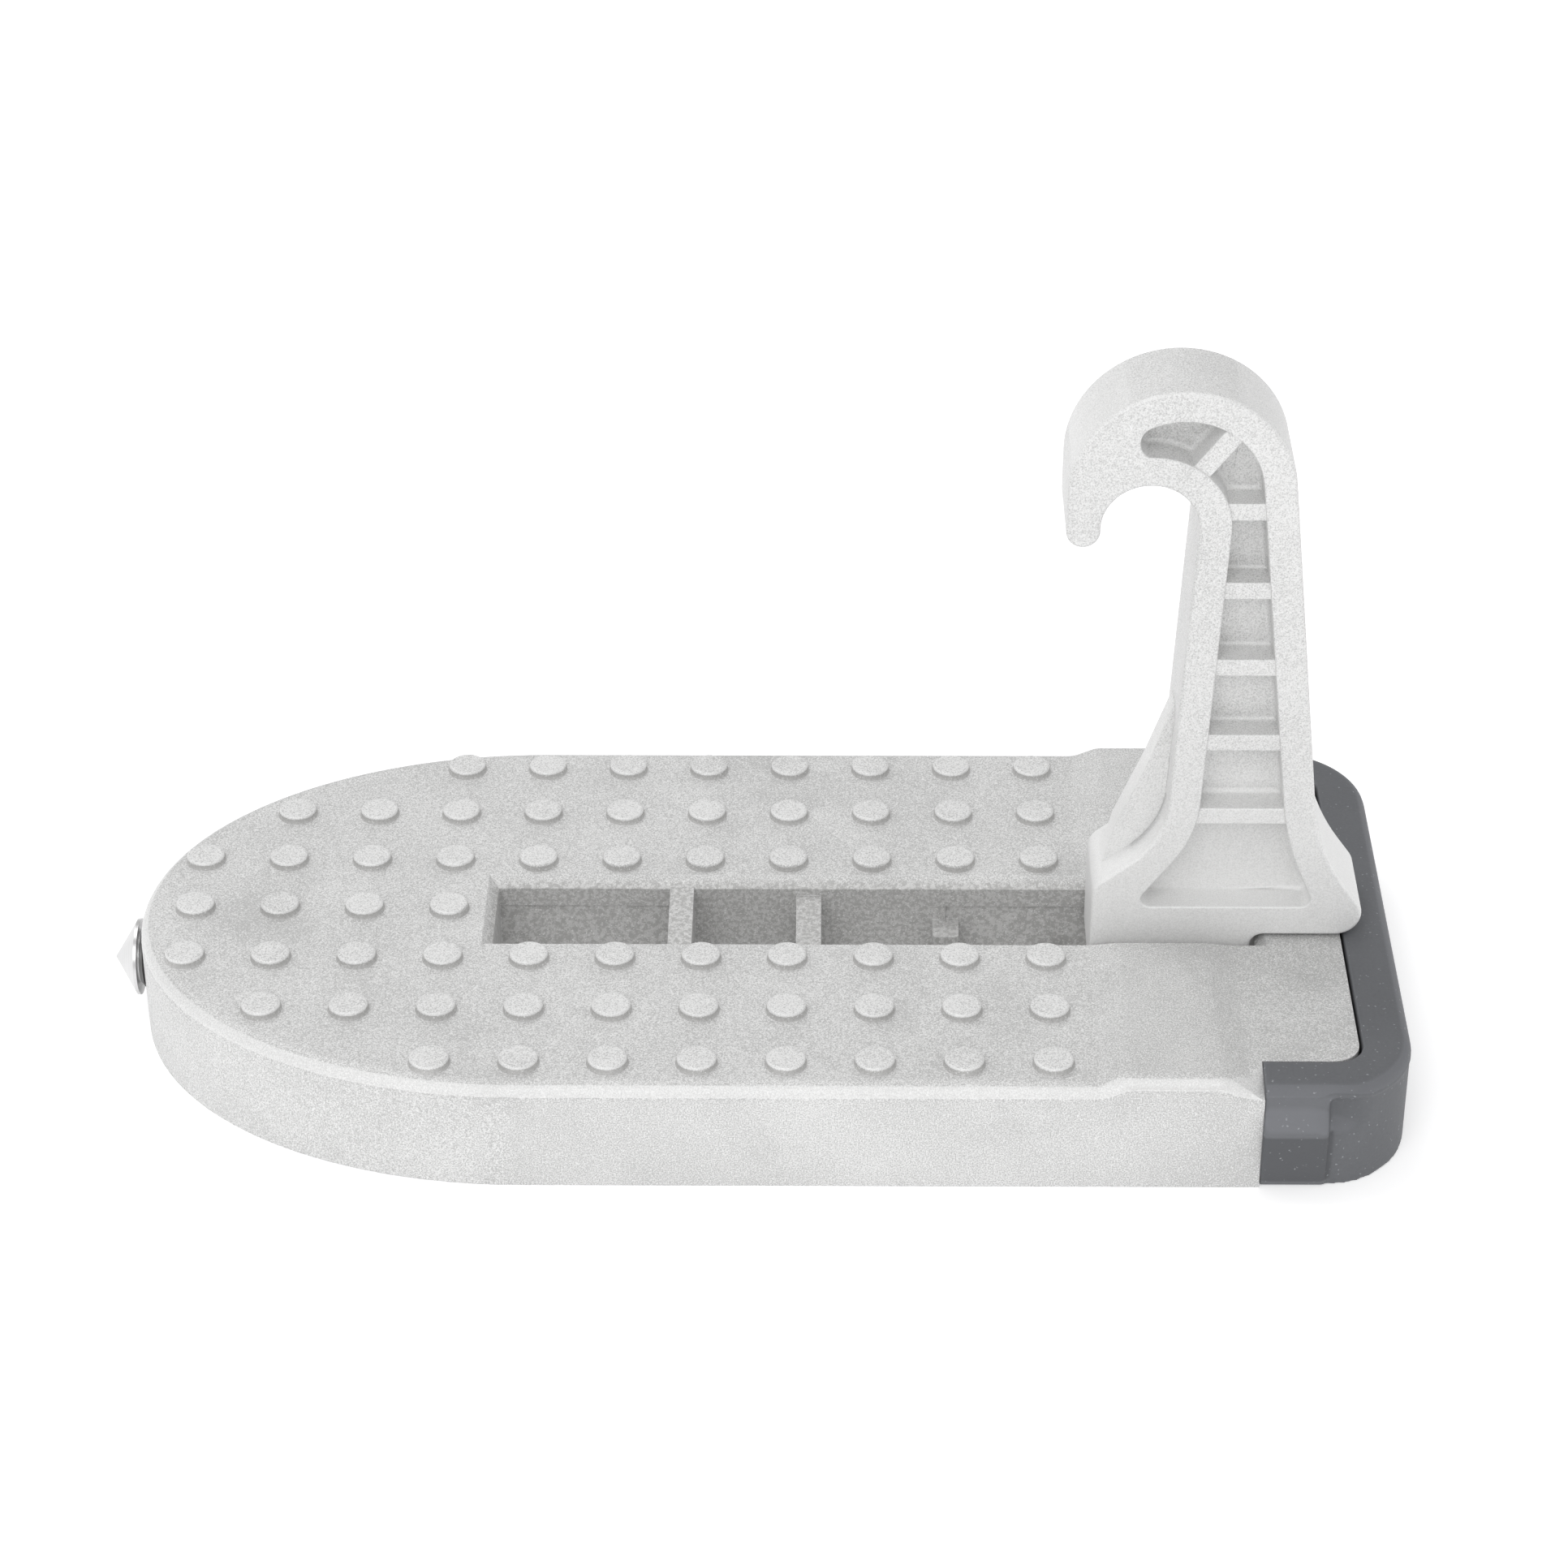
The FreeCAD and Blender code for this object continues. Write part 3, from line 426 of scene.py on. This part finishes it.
plasticLook = {
    "dark": (0.018, 0.018, 0.019),
    "light": (0.045, 0.045, 0.047),
    "grain": (1800.0, 3, 0.6),
    "grainHeight": 0.015 * mm,
    "roughness": 0.5,
    "roughGrain": 0.2,
}


def blackPlastic():
    look = plasticLook
    f = Finish("blackPlastic")
    grain = f.noise(*look["grain"])
    tone = f.mix(grain, look["dark"], look["light"])
    rough = look["roughness"] + (grain - 0.5) * look["roughGrain"]
    return f.send(Base_Color=tone, Roughness=rough, Normal=f.bump(grain, look["grainHeight"]))


finishes = {
    "step_plate": (castAluminium("castPlate", 0.45, 5.0, 0.45, True), "cast_aluminium"),
    "hook": (castAluminium("castHook", 0.70, 3.6, 0.25, False), "cast_hook"),
    "pivot_pin": (turnedSteel("groundPin", (0.62, 0.62, 0.61), 0.28, "Y"), "steel"),
    "bumper_screws": (turnedSteel("platedScrew", (0.66, 0.66, 0.64), 0.32, "Z"), "steel"),
    "grub_screw": (turnedSteel("blackScrew", (0.09, 0.09, 0.095), 0.38, "Z"), "dark_steel"),
    "pin_hole_plug": (blackPlastic(), "black_plastic"),
    "bumper": (mouldedRubber(), "rubber"),
    "breaker_tip": (turnedSteel("hardTip", (0.70, 0.70, 0.70), 0.32, "X"), "hard_steel"),
}
for name, (material, slotName) in finishes.items():
    nodes[name].data.materials.clear()
    nodes[name].data.materials.append(material)
print("finishes made")


# finished copies: a merged copy of a piece, with its corners rounded as the mould rounds them
copyPlan = {
    "mergeDistance": 0.001 * mm,
    "sharpAngle": math.radians(28),
    "flatAngle": math.radians(0.4),
    "smoothAngle": math.radians(35),
    "onFace": 0.02,  # mm
}


def deselect():
    if bpy.context.object and bpy.context.object.mode != "OBJECT":
        bpy.ops.object.mode_set(mode="OBJECT")
    bpy.ops.object.select_all(action="DESELECT")


def mergedCopy(node, name):
    deselect()
    piece = bpy.data.objects.new(name, nodes[node].data.copy())
    bpy.context.collection.objects.link(piece)
    piece.select_set(True)
    bpy.context.view_layer.objects.active = piece
    bpy.ops.object.mode_set(mode="EDIT")
    bpy.ops.mesh.select_all(action="SELECT")
    bpy.ops.mesh.remove_doubles(threshold=copyPlan["mergeDistance"])
    return piece


def roundEdges(piece, wanted, radius, segments, hollow):
    bpy.ops.mesh.select_all(action="DESELECT")
    bpy.ops.mesh.select_mode(type="EDGE")
    net = bmesh.from_edit_mesh(piece.data)
    count = 0
    for edge in net.edges:
        if edge.is_manifold and edge.is_convex != hollow and edge.calc_face_angle() > copyPlan["sharpAngle"]:
            if all(wanted(vert.co / mm) for vert in edge.verts):
                edge.select_set(True)
                count += 1
    bmesh.update_edit_mesh(piece.data)
    if count:
        bpy.ops.mesh.bevel(offset=radius, segments=segments, profile=0.5, affect="EDGES", clamp_overlap=False)
    print(piece.name, "rounded", count, "edges")


def standsIn(piece, node, body):
    deselect()
    piece.select_set(True)
    bpy.context.view_layer.objects.active = piece
    bpy.ops.object.shade_smooth_by_angle(angle=copyPlan["smoothAngle"])
    even = piece.modifiers.new("even", "WEIGHTED_NORMAL")
    even.keep_sharp = True
    bpy.ops.object.modifier_apply(modifier="even")
    material, slotName = finishes[node]
    piece.data.materials.clear()
    piece.data.materials.append(material)
    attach(piece, body)
    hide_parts(node)
    print(piece.name, len(piece.data.polygons), "faces")


# hook: fillets in the pockets, softened rims and rungs
hookPlan = {
    "webFace": 1.85,  # mm from the middle plane
    "rungFace": 5.65,
    "sideFace": 6.0,
    "floorRadius": 0.72 * mm,
    "floorSegments": 3,
    "rimRadius": 0.22 * mm,
    "rimSegments": 2,
    "gussetTop": 50.0,
    "gussetReach": 53.6,
}


def near(value, target):
    return abs(abs(value) - target) < copyPlan["onFace"]


def inPocket(p):
    return p.z > hookPlan["gussetTop"] or p.x > hookPlan["gussetReach"]


def buildHook():
    plan = hookPlan
    piece = mergedCopy("hook", "hookCasting")
    bpy.ops.mesh.dissolve_limited(angle_limit=copyPlan["flatAngle"])
    roundEdges(piece, lambda p: near(p.y, plan["webFace"]) and inPocket(p), plan["floorRadius"],
               plan["floorSegments"], True)
    for face in (plan["rungFace"], plan["sideFace"]):
        roundEdges(piece, lambda p: near(p.y, face), plan["rimRadius"], plan["rimSegments"], False)
    standsIn(piece, "hook", "hook")


buildHook()

# bumper: one soft moulding, tucked in below the lip and at the foot, with a dimple beside each pad
bumperPlan = {
    "grain": 0.32 * mm,
    "easing": 0.5,
    "rounds": 5,
    "bodyHalf": 37.2,  # mm from the middle plane, just inside the side faces
    "padEnd": 71.5,
    "lipFoot": 13.4,  # mm above the floor
    "lipReach": 0.4,
    "lipTuck": 0.8 * mm,
    "footReach": 0.6,
    "footTuck": 0.40 * mm,
    "tuckSpread": 5.0 * mm,
    "scoopPlace": (73.6, 11.2),
    "scoopReach": 0.8,
    "scoopDepth": 0.8 * mm,
    "scoopSpread": 3.6 * mm,
}


def underLip(p):
    return abs(p.z - bumperPlan["lipFoot"]) < bumperPlan["lipReach"] and p.x < bumperPlan["padEnd"]


def atFoot(p):
    return p.z < bumperPlan["footReach"] and p.x < bumperPlan["padEnd"]


def inScoop(p):
    centre = bumperPlan["scoopPlace"]
    return math.hypot(p.x - centre[0], p.z - centre[1]) < bumperPlan["scoopReach"]


def pushIn(piece, wanted, depth, spread):
    for side in (-1, 1):
        bpy.ops.mesh.select_all(action="DESELECT")
        bpy.ops.mesh.select_mode(type="VERT")
        net = bmesh.from_edit_mesh(piece.data)
        for vert in net.verts:
            p = vert.co / mm
            vert.select_set(p.y * side > bumperPlan["bodyHalf"] and wanted(p))
        net.select_flush_mode()
        bmesh.update_edit_mesh(piece.data)
        bpy.ops.transform.translate(value=(0, -side * depth, 0), use_proportional_edit=True,
                                    use_proportional_connected=True, proportional_size=spread,
                                    proportional_edit_falloff="SMOOTH")


def buildBumper():
    plan = bumperPlan
    piece = mergedCopy("bumper", "bumperBoot")
    bpy.ops.object.mode_set(mode="OBJECT")
    skin = piece.modifiers.new("skin", "REMESH")
    skin.mode = "VOXEL"
    skin.voxel_size = plan["grain"]
    skin.use_smooth_shade = True
    bpy.ops.object.modifier_apply(modifier="skin")
    ease = piece.modifiers.new("ease", "SMOOTH")
    ease.factor = plan["easing"]
    ease.iterations = plan["rounds"]
    bpy.ops.object.modifier_apply(modifier="ease")
    bpy.ops.object.mode_set(mode="EDIT")
    pushIn(piece, underLip, plan["lipTuck"], plan["tuckSpread"])
    pushIn(piece, atFoot, plan["footTuck"], plan["tuckSpread"])
    pushIn(piece, inScoop, plan["scoopDepth"], plan["scoopSpread"])
    standsIn(piece, "bumper", "step")


buildBumper()
